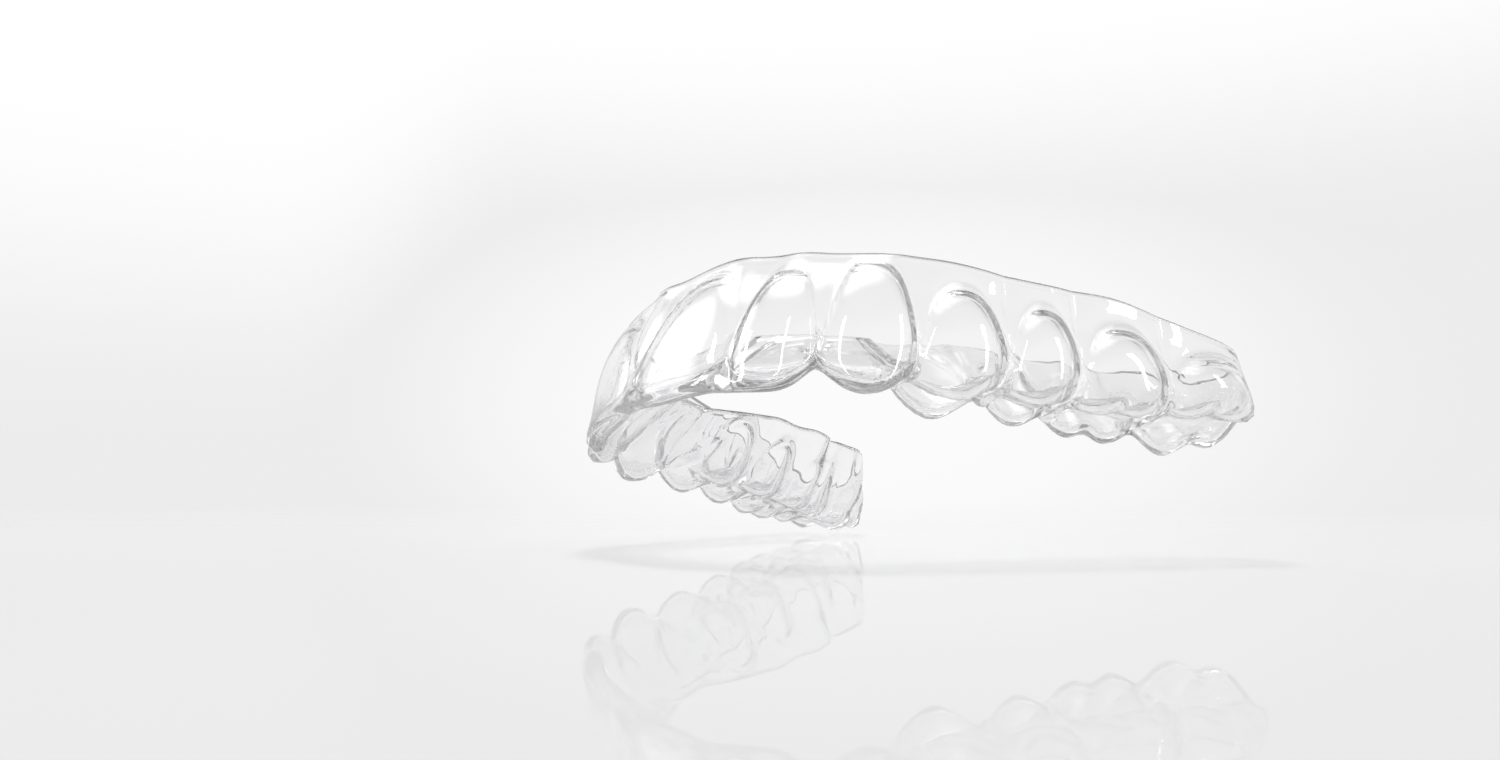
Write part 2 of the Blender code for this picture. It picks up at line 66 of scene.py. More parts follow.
# Heights of the crowns, from the edge or cusp tip to the top of the gum line
CENTRAL_HEIGHT = 9.7 * MM
LATERAL_HEIGHT = 9.5 * MM
CANINE_HEIGHT = 10.3 * MM
FIRST_PREMOLAR_HEIGHT = 7.7 * MM
SECOND_PREMOLAR_HEIGHT = 6.7 * MM
FIRST_MOLAR_HEIGHT = 5.9 * MM
SECOND_MOLAR_HEIGHT = 3.8 * MM

# Edge or cusp tip above the bite plane
CENTRAL_LEVEL = 0.65 * MM
LATERAL_LEVEL = 0.1 * MM
CANINE_LEVEL = -0.1 * MM
PREMOLAR_LEVEL = 0.0 * MM
FIRST_MOLAR_LEVEL = -0.3 * MM
SECOND_MOLAR_LEVEL = 0.0 * MM

# Depths of the crowns at the gum, from the lip or cheek side to the palate side
INCISOR_DEPTH = 6.6 * MM
CANINE_DEPTH = 7.6 * MM
FIRST_PREMOLAR_DEPTH = 8.7 * MM
SECOND_PREMOLAR_DEPTH = 9.0 * MM
FIRST_MOLAR_DEPTH = 9.8 * MM
SECOND_MOLAR_DEPTH = 9.6 * MM

# Front teeth: lip face before the arch line, bulge of that face, lean of the face per height,
# and rise of the biting edge at the front and back contact
EDGE_DEPTH = 0.9 * MM
CENTRAL_FACE = 1.25 * MM
LATERAL_FACE = 1.0 * MM
CANINE_FACE = 1.0 * MM
CENTRAL_BULGE = 0.5 * MM
LATERAL_BULGE = 0.9 * MM
CANINE_BULGE = 0.9 * MM
BULGE_POWER = 1.3
CENTRAL_LEAN = 0.30
LATERAL_LEAN = 0.25
CANINE_LEAN = 0.18
CENTRAL_RISES = (0.5 * MM, -0.35 * MM)
LATERAL_RISES = (0.4 * MM, 1.9 * MM)
CANINE_RISES = (2.6 * MM, 2.2 * MM)
EDGE_CURVE_POWER = 2.2

# Back teeth: narrowing of the crown towards the cusps, lean and bulge of the cheek face
BACK_CROWN_TAPER = 1.6 * MM
BACK_LEAN = 0.06
BACK_BULGE = 0.5 * MM

# Cusps of the back teeth
CUSP_SLOPE = 0.62
CUSP_TIP_RADIUS = 1.0 * MM
CUSP_VALLEY_ROUNDING = 0.3 * MM
CHEEK_CUSP_INSET = 0.9 * MM
PALATE_CUSP_INSET = 2.2 * MM
PREMOLAR_PALATE_CUSP = 0.0 * MM
FIRST_MOLAR_PALATE_CUSPS = (-0.1 * MM, -0.4 * MM)
SECOND_MOLAR_PALATE_CUSPS = (-1.4 * MM, -0.5 * MM)
FIRST_PREMOLAR_SKEW = -0.03
SECOND_PREMOLAR_SKEW = 0.08
FIRST_MOLAR_SKEW = 0.10
SECOND_MOLAR_SKEW = 0.22
MOLAR_CUSP_SPREAD = 0.24

# Tip of each crown: how far its middle line moves back along the arch per height
CENTRAL_TIP = 0.25
LATERAL_TIP = 0.16
CANINE_TIP = 0.14
FIRST_PREMOLAR_TIP = 0.05
SECOND_PREMOLAR_TIP = 0.05
FIRST_MOLAR_TIP = 0.02
SECOND_MOLAR_TIP = -0.02
TIP_START = 0.15

# How far the palate side of a crown curves back towards its contacts
INCISOR_PALATE_ROUND = 0.6 * MM
PREMOLAR_PALATE_ROUND = 1.8 * MM
MOLAR_PALATE_ROUND = 1.0 * MM

# Gum
GUM_STEP = 0.75 * MM
PALATE_GUM_STEP = 0.4 * MM
PAPILLA_SHARE = 0.22
PALATE_GUM_SHARE = 0.76
PALATE_GUM_REACH = 0.8
PALATE_SLOPE = 0.30
PALATE_SLOPE_START = 0.6
PALATE_ROUND_START = 1.3
PALATE_ROUND_LOSS = 1.1
NECK_TAPER = 0.44
NECK_START = 0.15
GUM_ARCH_POWER = 1.25

# Trim line above the gum line on the lip side, at each tooth, and past the last tooth
CENTRAL_MARGIN = 1.9 * MM
LATERAL_MARGIN = 1.9 * MM
CANINE_MARGIN = 1.3 * MM
FIRST_PREMOLAR_MARGIN = 3.1 * MM
SECOND_PREMOLAR_MARGIN = 3.0 * MM
FIRST_MOLAR_MARGIN = 3.6 * MM
SECOND_MOLAR_MARGIN = 2.8 * MM
END_TRIM_DROP = 1.2 * MM

# Trim line on the palate side, above the bite plane
FRONT_PALATE_TRIM = 6.5 * MM
BACK_PALATE_TRIM = 7.6 * MM

# Blends
EDGE_ROUNDING = 0.28 * MM
CROWN_ROUNDING = 0.55 * MM
NECK_ROUNDING = 0.5 * MM
UNION_ROUNDING = 0.28 * MM
GUM_UNION_ROUNDING = 0.9 * MM
GUM_WAVE = 0.8 * MM
END_BOW = 2.6 * MM
END_BOW_LIMIT = 1.5
CONTACT_OVERLAP = 0.30 * MM
FACE_ROUNDING = 0.95 * MM
EDGE_TURN_BACK = 0.6 * MM
CORNER_ROUNDING = 0.45 * MM
CROWN_SIDE_GAP = 0.12 * MM
GROOVE_DEPTH = 1.1 * MM
PALATE_GROOVE_SHARE = 0.6
MOLAR_LOBE_GROOVE = 0.6 * MM
MOLAR_LOBE_GROOVE_WIDTH = 0.9 * MM
CONTACT_HALF_DEPTH = 1.0 * MM
FACE_TURN_END = 1.15
FACE_TURN_POWER = 2.6
SWELL_END = 0.80
SWELL_STEEPNESS = 3.0
PALATE_LEAN_SHARE = 0.5
HIGHEST_SHARE = 1.2
EMBRASURE_FLARE = 0.06
END_LEAN = 0.22

# Middle line of the trough, from which the wall is measured out. For a front tooth: how far it
# lies behind the arch line and above the biting edge, and how far it leans back per height.
CENTRAL_CORE = (0.2 * MM, 2.3 * MM)
LATERAL_CORE = (0.6 * MM, 2.8 * MM)
CANINE_CORE = (0.8 * MM, 3.2 * MM)
FRONT_CORE_LEAN = 0.42
BACK_CORE_HEIGHT = 4.2 * MM
CORE_SMOOTHING = 2.0 * MM
TIP_SMOOTHING = 4.0 * MM
LIP_TRIM_SMOOTHING = 3.0 * MM
PALATE_TRIM_SMOOTHING = 5.0 * MM
PALATE_TRIM_END_DROP = 0.8 * MM
LAST_SECTION_SHARE = 0.42
SMALLEST_SECTION_GAP = 0.3 * MM
MIRRORED_TEETH = 2
CURVE_SAMPLES = 4001
ARCH_SAMPLES = 1001
SETTLE_ROUNDS = 4
LONGEST_RAY = 14.0 * MM
RAY_STEPS = 70
HALVINGS = 22

# Fineness of the shown shell
COLUMNS_PER_TOOTH = 26
COLUMN_CROWDING = 0.60
WALL_ROWS = 22
TURN_ROWS = 15
END_COLUMNS = 24
RIM_STEPS = 4
RIM_BULGE = 0.22 * MM

# Clear sheet: grey tints from 0 to 1, absorption and noise scales per metre
SHEET_TINT = 0.95
SHEET_BLUE_LIFT = 1.006
SHEET_ABSORPTION = 22.0
SHEET_IOR = 1.50
SHADOW_TINT = (0.80, 0.80, 0.81, 1.0)
SHEET_ROUGHNESS = (0.0, 0.015)
HAZE_SCALE = 220.0
HAZE_DETAIL = 3.0
HAZE_RANGE = (0.3, 0.7)
RIPPLE_SCALE = 260.0
RIPPLE_DETAIL = 2.0
RIPPLE_STRENGTH = 0.20
RIPPLE_HEIGHT = 0.2 * MM

# Painted shade: the sheet's colour is darkened where it is seen edge on, standing in for the dark
# edge lines of bent light. The facing value at which it starts, from 0 for face on to 1 for edge
# on, rises between two heights.
EDGE_PAINTED_SHADE = 0.03
LOW_EDGE_START = 0.56
HIGH_EDGE_START = 0.83
EDGE_HEIGHTS = (1.5 * MM, 4.5 * MM)

# Painted shade: a dark line painted along the cut edge of the trim line, which also has a duller
# roughness
RIM_PAINTED_SHADE = 0.15
RIM_DARK_RINGS = 3
RIM_FADE = (0.5, 0.95)
RIM_ROUGHNESS = 0.06

# Camera in the frame: place, direction and roll in degrees, lens and sensor in mm
CAMERA_PLACE = Vector((72.482, -58.040, -24.814)) * MM
CAMERA_AZIMUTH = 56.40
CAMERA_ELEVATION = -19.55
CAMERA_ROLL = 2.53
CAMERA_LENS = 25.341
CAMERA_SENSOR = 36.0
CAMERA_CLIP = (1.0 * MM, 10.0)

# Floor below the tilted part, with its reach from the point below the camera
FLOOR_NORMAL = Vector((0.1765, -0.1678, 0.9698)).normalized()
FLOOR_LEVEL = -7.38 * MM
FLOOR_NEAR_REACH = 0.30
FLOOR_FAR_REACH = 0.34
FLOOR_SIDE_REACH = 0.34
FLOOR_FADE = 0.27
FLOOR_NEAR_FADE_END = 0.03
FLOOR_THINNING = 0.25
FLOOR_COLOUR = (0.66, 0.66, 0.66, 1.0)
FLOOR_GLOSS = (0.10, 0.36)
FLOOR_GLOSS_FACING = (0.72, 0.93)
FLOOR_HAZE = 0.012

# Backdrop: grey near the floor and white higher up, with a glow behind the part. Its places are
# components of a unit view direction along the floor's side, away and up directions.
WORLD_LIGHT = (0.75, 0.75, 0.75, 1.0)
LOW_GREY = 0.84
LEFT_HEIGHTS = (0.03, 0.32)
RIGHT_HEIGHTS = (0.205, 0.415)
LEFT_TO_RIGHT = (-0.42, -0.20)
GLOW_CENTRE = (0.09, 0.08)
GLOW_REACH = (0.48, 0.25)
GLOW_LEVEL = 0.965
GLOW_AWAY = (0.0, 0.2)
HIGH_DARK = 0.52
HIGH_DARK_HEIGHTS = (0.45, 0.75)

# Broad soft panels that only mirrored rays see: direction in the floor's axes, cosine of the
# reach, and level at the middle
Panel = namedtuple("Panel", "direction reach level")
PANELS = (
    Panel((-0.83, 0.20, 0.52), 0.92, 3.5),
    Panel((-0.05, 0.10, 1.00), 0.87, 4.0),
)

# Softboxes in metres, placed from the middle of the part along the floor's axes
PART_MIDDLE = Vector((0.0, 0.0, 6.0)) * MM
Softbox = namedtuple("Softbox", "name side away up wide tall radiance mirrored")
SOFTBOXES = (
    Softbox("key_light", 0.0, 0.15, 0.48, 0.10, 0.10, 50.0, False),
    Softbox("left_strip", -0.40, -0.16, 0.10, 0.045, 0.40, 12.0, True),
    Softbox("right_strip", 0.37, -0.26, 0.14, 0.035, 0.30, 13.0, True),
    Softbox("near_strip", -0.12, -0.44, 0.22, 0.035, 0.36, 11.0, True),
)

# Light paths through the many layers of clear sheet
LIGHT_BOUNCES = 40
GLOSSY_BOUNCES = 32
CUT_OUT_BOUNCES = 16

BLACK = (0.0, 0.0, 0.0, 1.0)
WHITE = (1.0, 1.0, 1.0, 1.0)

Tooth = namedtuple("Tooth", "width turn height level tip depth edge_depth face lean bulge "
                            "rounding palate_round skew rise_front rise_back cusps core_inset "
                            "core_height core_lean margin")


def back_tooth(width, turn, height, level, tip, depth, along, palate_rises, skew, margin):
    """A premolar or molar, with cusps at `along` shares of its width on both sides."""
    face = CHEEK_CUSP_INSET
    inner = face + PALATE_CUSP_INSET - depth
    cusps = [(share * width, 0.0, 0.0) for share in along]
    cusps += [(share * width, inner, rise) for share, rise in zip(along, palate_rises)]
    one = len(along) == 1
    return Tooth(width, turn, height, level, tip, depth, depth - BACK_CROWN_TAPER, face,
                 BACK_LEAN, BACK_BULGE, CROWN_ROUNDING,
                 PREMOLAR_PALATE_ROUND if one else MOLAR_PALATE_ROUND, skew, 0.0, 0.0, cusps,
                 0.5 * depth - face, BACK_CORE_HEIGHT, 0.0, margin)


def front_tooth(width, turn, height, level, tip, depth, face, bulge, lean, rises, core, margin):
    """An incisor or canine: a thin edge that rises towards the contacts."""
    return Tooth(width, turn, height, level, tip, depth, EDGE_DEPTH, face, lean, bulge,
                 EDGE_ROUNDING, INCISOR_PALATE_ROUND, 0.0, rises[0], rises[1], [],
                 core[0], core[1], FRONT_CORE_LEAN, margin)


TEETH = (
    front_tooth(CENTRAL_WIDTH, CENTRAL_TURN, CENTRAL_HEIGHT, CENTRAL_LEVEL, CENTRAL_TIP,
                INCISOR_DEPTH, CENTRAL_FACE, CENTRAL_BULGE, CENTRAL_LEAN, CENTRAL_RISES,
                CENTRAL_CORE, CENTRAL_MARGIN),
    front_tooth(LATERAL_WIDTH, LATERAL_TURN, LATERAL_HEIGHT, LATERAL_LEVEL, LATERAL_TIP,
                INCISOR_DEPTH, LATERAL_FACE, LATERAL_BULGE, LATERAL_LEAN, LATERAL_RISES,
                LATERAL_CORE, LATERAL_MARGIN),
    front_tooth(CANINE_WIDTH, CANINE_TURN, CANINE_HEIGHT, CANINE_LEVEL, CANINE_TIP,
                CANINE_DEPTH, CANINE_FACE, CANINE_BULGE, CANINE_LEAN, CANINE_RISES,
                CANINE_CORE, CANINE_MARGIN),
    back_tooth(FIRST_PREMOLAR_WIDTH, PREMOLAR_TURN, FIRST_PREMOLAR_HEIGHT, PREMOLAR_LEVEL,
               FIRST_PREMOLAR_TIP, FIRST_PREMOLAR_DEPTH, (0.0,), (PREMOLAR_PALATE_CUSP,),
               FIRST_PREMOLAR_SKEW, FIRST_PREMOLAR_MARGIN),
    back_tooth(SECOND_PREMOLAR_WIDTH, PREMOLAR_TURN, SECOND_PREMOLAR_HEIGHT, PREMOLAR_LEVEL,
               SECOND_PREMOLAR_TIP, SECOND_PREMOLAR_DEPTH, (0.0,), (PREMOLAR_PALATE_CUSP,),
               SECOND_PREMOLAR_SKEW, SECOND_PREMOLAR_MARGIN),
    back_tooth(FIRST_MOLAR_WIDTH, MOLAR_TURN, FIRST_MOLAR_HEIGHT, FIRST_MOLAR_LEVEL,
               FIRST_MOLAR_TIP, FIRST_MOLAR_DEPTH, (-MOLAR_CUSP_SPREAD, MOLAR_CUSP_SPREAD),
               FIRST_MOLAR_PALATE_CUSPS, FIRST_MOLAR_SKEW, FIRST_MOLAR_MARGIN),
    back_tooth(SECOND_MOLAR_WIDTH, MOLAR_TURN, SECOND_MOLAR_HEIGHT, SECOND_MOLAR_LEVEL,
               SECOND_MOLAR_TIP, SECOND_MOLAR_DEPTH, (-MOLAR_CUSP_SPREAD, MOLAR_CUSP_SPREAD),
               SECOND_MOLAR_PALATE_CUSPS, SECOND_MOLAR_SKEW, SECOND_MOLAR_MARGIN),
)


def soft_max(terms, radius):
    """The largest of the terms, with the corners between them rounded."""
    top = np.maximum.reduce(terms)
    return top + radius * np.log(sum(np.exp((term - top) / radius) for term in terms))


def soft_min(terms, radius):
    """The smallest of the terms, with the corners between them rounded."""
    return -soft_max([-term for term in terms], radius)


def smooth_step(value):
    """A step from 0 to 1 with level ends."""
    share = np.clip(value, 0.0, 1.0)
    return share * share * (3.0 - 2.0 * share)


def running_mean(knots, values, window, mirror):
    """Straight lines through the knots, averaged over the window. mirror is 1 for a curve that
    is even about the midline and -1 for an odd one."""
    reach = knots[-1] + window
    s = np.linspace(-reach, reach, CURVE_SAMPLES)
    line = np.interp(np.abs(s), knots, values)
    line = np.where(s < 0.0, mirror * line, line)
    area = np.concatenate([[0.0], np.cumsum(0.5 * (line[1:] + line[:-1]) * np.diff(s))])

    def curve(at):
        at = np.clip(at, -reach + 0.5 * window, reach - 0.5 * window)
        upper = np.interp(at + 0.5 * window, s, area)
        lower = np.interp(at - 0.5 * window, s, area)
        return (upper - lower) / window
    return curve


CONTACTS = np.concatenate([[0.0], np.cumsum([tooth.width for tooth in TEETH])])
CENTRES = 0.5 * (CONTACTS[1:] + CONTACTS[:-1])
ARCH_LENGTH = CONTACTS[-1]


def make_arch():
    """The arch line through the biting edges, as a function of the length along it."""
    headings = np.concatenate([[0.0], np.cumsum([tooth.turn for tooth in TEETH])])
    heading = running_mean(CONTACTS, np.radians(headings), ARCH_SMOOTHING, -1)
    s = np.linspace(0.0, ARCH_LENGTH, ARCH_SAMPLES)
    angle = heading(s)
    step = s[1] - s[0]
    x = np.concatenate([[0.0], np.cumsum(np.cos(0.5 * (angle[1:] + angle[:-1])) * step)])
    y = np.concatenate([[0.0], np.cumsum(np.sin(0.5 * (angle[1:] + angle[:-1])) * step)])

    def frame_at(at):
        return np.interp(at, s, x), np.interp(at, s, y), heading(at)
    return frame_at


arch_frame = make_arch()


def edge_height(tooth, along, across):
    """Height of the biting surface above the tip of the tooth."""
    half = 0.5 * tooth.width
    if tooth.cusps:
        cones = []
        for cusp_along, cusp_across, rise in tooth.cusps:
            away = np.sqrt((along - cusp_along) ** 2 + (across - cusp_across) ** 2
                           + CUSP_TIP_RADIUS ** 2) - CUSP_TIP_RADIUS
            cones.append(rise + CUSP_SLOPE * away)
        return soft_min(cones, CUSP_VALLEY_ROUNDING)
    rise = np.where(along < 0.0, tooth.rise_front, tooth.rise_back)
    return rise * np.abs(along / half) ** EDGE_CURVE_POWER


def crown_and_gum(tooth, along, across, height):
    """Field of one crown and of the gum above it, in the tooth's own frame."""
    inward = np.maximum(-across - CONTACT_HALF_DEPTH, 0.0)
    along = along - tooth.skew * inward
    half = 0.5 * tooth.width
    share = np.clip(height / tooth.height, 0.0, HIGHEST_SHARE)
    tipped = along - tooth.tip * np.clip(height - TIP_START * tooth.height, 0.0, tooth.height)
    beside = (tipped / half) ** 2
    turned = np.minimum(np.abs(tipped / half), FACE_TURN_END) ** FACE_TURN_POWER
    sag = 0.5 * along ** 2 * math.radians(tooth.turn) / tooth.width
    wall = tooth.face - tooth.lean * height

    bulge = tooth.bulge * np.sin(math.pi * np.clip(share, 0.0, 1.0) ** BULGE_POWER)
    face = across - wall - bulge

    ramp = smooth_step(share / SWELL_END)
    ramp_slope = np.sqrt(ramp * (1.0 - ramp)) * SWELL_STEEPNESS / (SWELL_END * tooth.height)
    swell = tooth.depth - tooth.edge_depth
    palate_lean = PALATE_LEAN_SHARE * tooth.lean
    palate_face = tooth.face - tooth.edge_depth - swell * ramp - palate_lean * height
    if not tooth.cusps:
        palate_face -= EDGE_TURN_BACK * turned * (1.0 - ramp)
    if len(tooth.cusps) == 4:
        palate_face += MOLAR_LOBE_GROOVE * np.exp(-(along / MOLAR_LOBE_GROOVE_WIDTH) ** 2)
    slope = swell * ramp_slope + palate_lean
    back = (palate_face - across) / np.sqrt(1.0 + slope ** 2)

    arch_side = (np.abs(along) - half - CONTACT_OVERLAP
                 + math.tan(math.radians(0.5 * tooth.turn)) * inward)
    neck = half * NECK_TAPER * smooth_step((share - NECK_START) / (1.0 - NECK_START))
    drawn_in = np.maximum(np.abs(tipped) - np.abs(along) + neck, 0.0)
    side = arch_side + drawn_in + EMBRASURE_FLARE * inward + CROWN_SIDE_GAP

    biting = edge_height(tooth, along, across) - height
    palate_share = smooth_step(-across / (PALATE_GUM_REACH * tooth.depth))
    top = tooth.height * (1.0 - (1.0 - PALATE_GUM_SHARE) * palate_share)
    papilla = PAPILLA_SHARE * tooth.height
    gum_line = top - (top - papilla) * np.minimum(beside, 1.0) ** GUM_ARCH_POWER
    front = soft_max([face + FACE_ROUNDING * turned, side], CORNER_ROUNDING)
    crown = soft_max([front, back + tooth.palate_round * beside, biting], tooth.rounding)
    crown = soft_max([crown, height - gum_line], NECK_ROUNDING)
    filler = soft_max([face + GROOVE_DEPTH, back + PALATE_GROOVE_SHARE * tooth.palate_round,
                       arch_side, biting + GROOVE_DEPTH], CROWN_ROUNDING)

    gum_face = across - wall + sag + GUM_STEP + GUM_WAVE * np.minimum(beside, 1.0)
    gum_back = (back + PALATE_GUM_STEP
                - PALATE_SLOPE * np.maximum(height - PALATE_SLOPE_START * tooth.height, 0.0)
                + tooth.palate_round * np.minimum(beside, 1.0)
                * smooth_step(PALATE_ROUND_START - PALATE_ROUND_LOSS * share))
    gum = soft_max([gum_face, gum_back, arch_side, gum_line - height], CROWN_ROUNDING)
    return soft_min([crown, filler], UNION_ROUNDING), gum


def body_field(x, y, z):
    """Distance-like field of the teeth and gum: negative inside, positive outside."""
    crowns, gums = [], []
    for index, (tooth, centre) in enumerate(zip(TEETH, CENTRES)):
        ox, oy, turn = arch_frame(centre)
        for mirror in ((1.0, -1.0) if index < MIRRORED_TEETH else (1.0,)):
            dx = mirror * x - ox
            dy = y - oy
            along = dx * math.cos(turn) + dy * math.sin(turn)
            across = dx * math.sin(turn) - dy * math.cos(turn)
            crown, gum = crown_and_gum(tooth, along, across, z - tooth.level - SHEET_THICKNESS)
            crowns.append(crown)
            gums.append(gum)
    body = soft_min(crowns + [soft_min(gums, GUM_UNION_ROUNDING)], UNION_ROUNDING)
    # The closed end lies behind the last tooth, whose values the loop leaves here.
    middle = tooth.face - 0.5 * tooth.depth
    from_middle = (across - middle) / (0.5 * tooth.depth)
    bow = END_BOW * np.clip(from_middle, -END_BOW_LIMIT, END_BOW_LIMIT) ** 2
    end = along - 0.5 * tooth.width - CONTACT_OVERLAP + bow + END_LEAN * z
    return soft_max([body, end], CROWN_ROUNDING)


def hit(origin, direction, level):
    """Where each ray from inside the body first meets the given level of the field."""
    lengths = np.linspace(0.0, LONGEST_RAY, RAY_STEPS + 1)
    low = np.zeros(origin.shape[:-1])
    high = np.full(origin.shape[:-1], LONGEST_RAY)
    open_ray = np.ones(origin.shape[:-1], bool)
    for start, stop in zip(lengths[:-1], lengths[1:]):
        point = origin + stop * direction
        outside = body_field(point[..., 0], point[..., 1], point[..., 2]) > level
        found = open_ray & outside
        low[found] = start
        high[found] = stop
        open_ray &= ~outside
    for _ in range(HALVINGS):
        middle = 0.5 * (low + high)
        point = origin + middle[..., None] * direction
        outside = body_field(point[..., 0], point[..., 1], point[..., 2]) > level
        high = np.where(outside, middle, high)
        low = np.where(outside, low, middle)
    return origin + (0.5 * (low + high))[..., None] * direction


LIP_TRIM_HEIGHTS = [tooth.level + tooth.height + tooth.margin for tooth in TEETH]
LIP_TRIM_HEIGHTS = (LIP_TRIM_HEIGHTS[:1] + LIP_TRIM_HEIGHTS
                    + [LIP_TRIM_HEIGHTS[-1] - END_TRIM_DROP])
PALATE_TRIM_HEIGHTS = [FRONT_PALATE_TRIM, FRONT_PALATE_TRIM, BACK_PALATE_TRIM,
                       BACK_PALATE_TRIM - PALATE_TRIM_END_DROP]
CORE_HEIGHTS = [tooth.level + SHEET_THICKNESS + tooth.core_height for tooth in TEETH]
lip_trim = running_mean(np.concatenate([[0.0], CENTRES, [ARCH_LENGTH]]), LIP_TRIM_HEIGHTS,
                        LIP_TRIM_SMOOTHING, 1)
palate_trim = running_mean([0.0, CONTACTS[3], CONTACTS[4], ARCH_LENGTH], PALATE_TRIM_HEIGHTS,
                           PALATE_TRIM_SMOOTHING, 1)
column_tip = running_mean(np.concatenate([[0.0], CENTRES]), [0.0] + [tooth.tip for tooth in TEETH],
                          TIP_SMOOTHING, -1)
core_inset = running_mean(CENTRES, [tooth.core_inset for tooth in TEETH], CORE_SMOOTHING, 1)
core_height = running_mean(CENTRES, CORE_HEIGHTS, CORE_SMOOTHING, 1)
core_lean = running_mean(CENTRES, [tooth.core_lean for tooth in TEETH], CORE_SMOOTHING, 1)
LAST_SECTION = ARCH_LENGTH - LAST_SECTION_SHARE * SECOND_MOLAR_DEPTH


def section_rays(s, spin, trim, wall_rows, turn_rows):
    """Rays of half a section: down the wall from the trim line, then round to straight down.
    spin turns the half section about the core, from 0 on the lip side to pi on the palate side."""
    low = core_height(s)
    origins, directions = [], []
    for row in range(wall_rows + turn_rows + 1):
        z = low + (trim - low) * max(1.0 - row / wall_rows, 0.0)
        ox, oy, turn = arch_frame(s + column_tip(s) * (z - low) * max(math.cos(spin), 0.0))
        flat_x = math.cos(spin) * math.sin(turn) + math.sin(spin) * math.cos(turn)
        flat_y = -math.cos(spin) * math.cos(turn) + math.sin(spin) * math.sin(turn)
        dip = 0.5 * math.pi * max(row - wall_rows, 0) / turn_rows
        inset = core_inset(s) + core_lean(s) * (z - low)
        origins.append((ox - inset * math.sin(turn), oy + inset * math.cos(turn), z))
        directions.append((flat_x * math.cos(dip), flat_y * math.cos(dip), -math.sin(dip)))
    return origins, directions


def half_grid(stops, wall_rows, turn_rows, end_columns):
    """Rays of the left half: full sections from the midline back, then the fan round the end."""
    places = [CONTACTS[i] + stop * TEETH[i].width for i in range(len(TEETH)) for stop in stops]
    last = LAST_SECTION - SMALLEST_SECTION_GAP
    places = [place for place in places if place < last] + [LAST_SECTION]
    sections = []
    for s in places:
        lip = section_rays(s, 0.0, lip_trim(s), wall_rows, turn_rows)
        palate = section_rays(s, math.pi, palate_trim(s), wall_rows, turn_rows)
        sections.append([lip[i] + palate[i][-2::-1] for i in range(2)])
    fan = []
    for column in range(1, end_columns):
        share = column / end_columns
        trim = (1.0 - share) * lip_trim(LAST_SECTION) + share * palate_trim(LAST_SECTION)
        trim -= END_TRIM_DROP * math.sin(math.pi * share)
        rays = section_rays(LAST_SECTION, math.pi * share, trim, wall_rows, turn_rows)
        fan.append([rays[i][:-1] for i in range(2)])
    return np.array(sections), np.array(fan)


def surface_points(sections, fan, level):
    """Points of one face of the shell on both halves, and the index of each point."""
    on_sections = hit(sections[:, 0], sections[:, 1], level)
    on_fan = hit(fan[:, 0], fan[:, 1], level)
    on_sections[0, :, 0] = 0.0
    mirror = np.array([-1.0, 1.0, 1.0])
    grid = np.concatenate([(on_sections * mirror)[:0:-1], on_sections])
    points = np.concatenate([grid.reshape(-1, 3), on_fan.reshape(-1, 3),
                             (on_fan * mirror).reshape(-1, 3)])
    columns, rows = grid.shape[:2]
    index = np.arange(columns * rows).reshape(columns, rows)
    count = on_fan.shape[0] * on_fan.shape[1]
    ends = [columns * rows + side * count + np.arange(count).reshape(on_fan.shape[:2])
            for side in range(2)]
    return points, index, ends


def surface_faces(index, ends):
    """Faces of one face of the shell, and the closed loop of its trim line."""
    faces = []
    columns, rows = index.shape
    for c in range(columns - 1):
        for r in range(rows - 1):
            faces.append((index[c, r], index[c + 1, r], index[c + 1, r + 1], index[c, r + 1]))
    middle = rows // 2
    rims = []
    for section, end in ((index[-1], ends[0]), (index[0], ends[1])):
        fan = [section[:middle]] + list(end) + [section[:middle:-1]]
        for first, second in zip(fan[:-1], fan[1:]):
            for r in range(middle - 1):
                faces.append((first[r], second[r], second[r + 1], first[r + 1]))
            faces.append((first[-1], second[-1], section[middle]))
        rims.append([column[0] for column in fan[1:-1]])
    loop = list(index[:, 0]) + rims[0] + list(index[::-1, -1]) + rims[1][::-1]
    return faces, loop


def settle(points):
    """Tip the aligner about X onto its cusps and move its origin to the bottom centre."""
    centre = points[:, 1].mean()
    for _ in range(SETTLE_ROUNDS):
        fore = points[points[:, 1] < centre]
        aft = points[points[:, 1] >= centre]
        front = fore[fore[:, 2].argmin()]
        rear = aft[aft[:, 2].argmin()]
        tilt = math.atan2(rear[2] - front[2], rear[1] - front[1])
        y = points[:, 1] * math.cos(tilt) + points[:, 2] * math.sin(tilt)
        z = points[:, 2] * math.cos(tilt) - points[:, 1] * math.sin(tilt)
        points = np.stack([points[:, 0], y, z], axis=1)
        centre = y.mean()
    low = points.min(axis=0)
    high = points.max(axis=0)
    return points - np.array([0.0, 0.5 * (low[1] + high[1]), low[2]])


def column_stops():
    """Shares of a tooth's width for its columns, crowded towards the contacts."""
    even = np.arange(COLUMNS_PER_TOOTH) / COLUMNS_PER_TOOTH
    return even - COLUMN_CROWDING * np.sin(2.0 * math.pi * even) / (2.0 * math.pi)


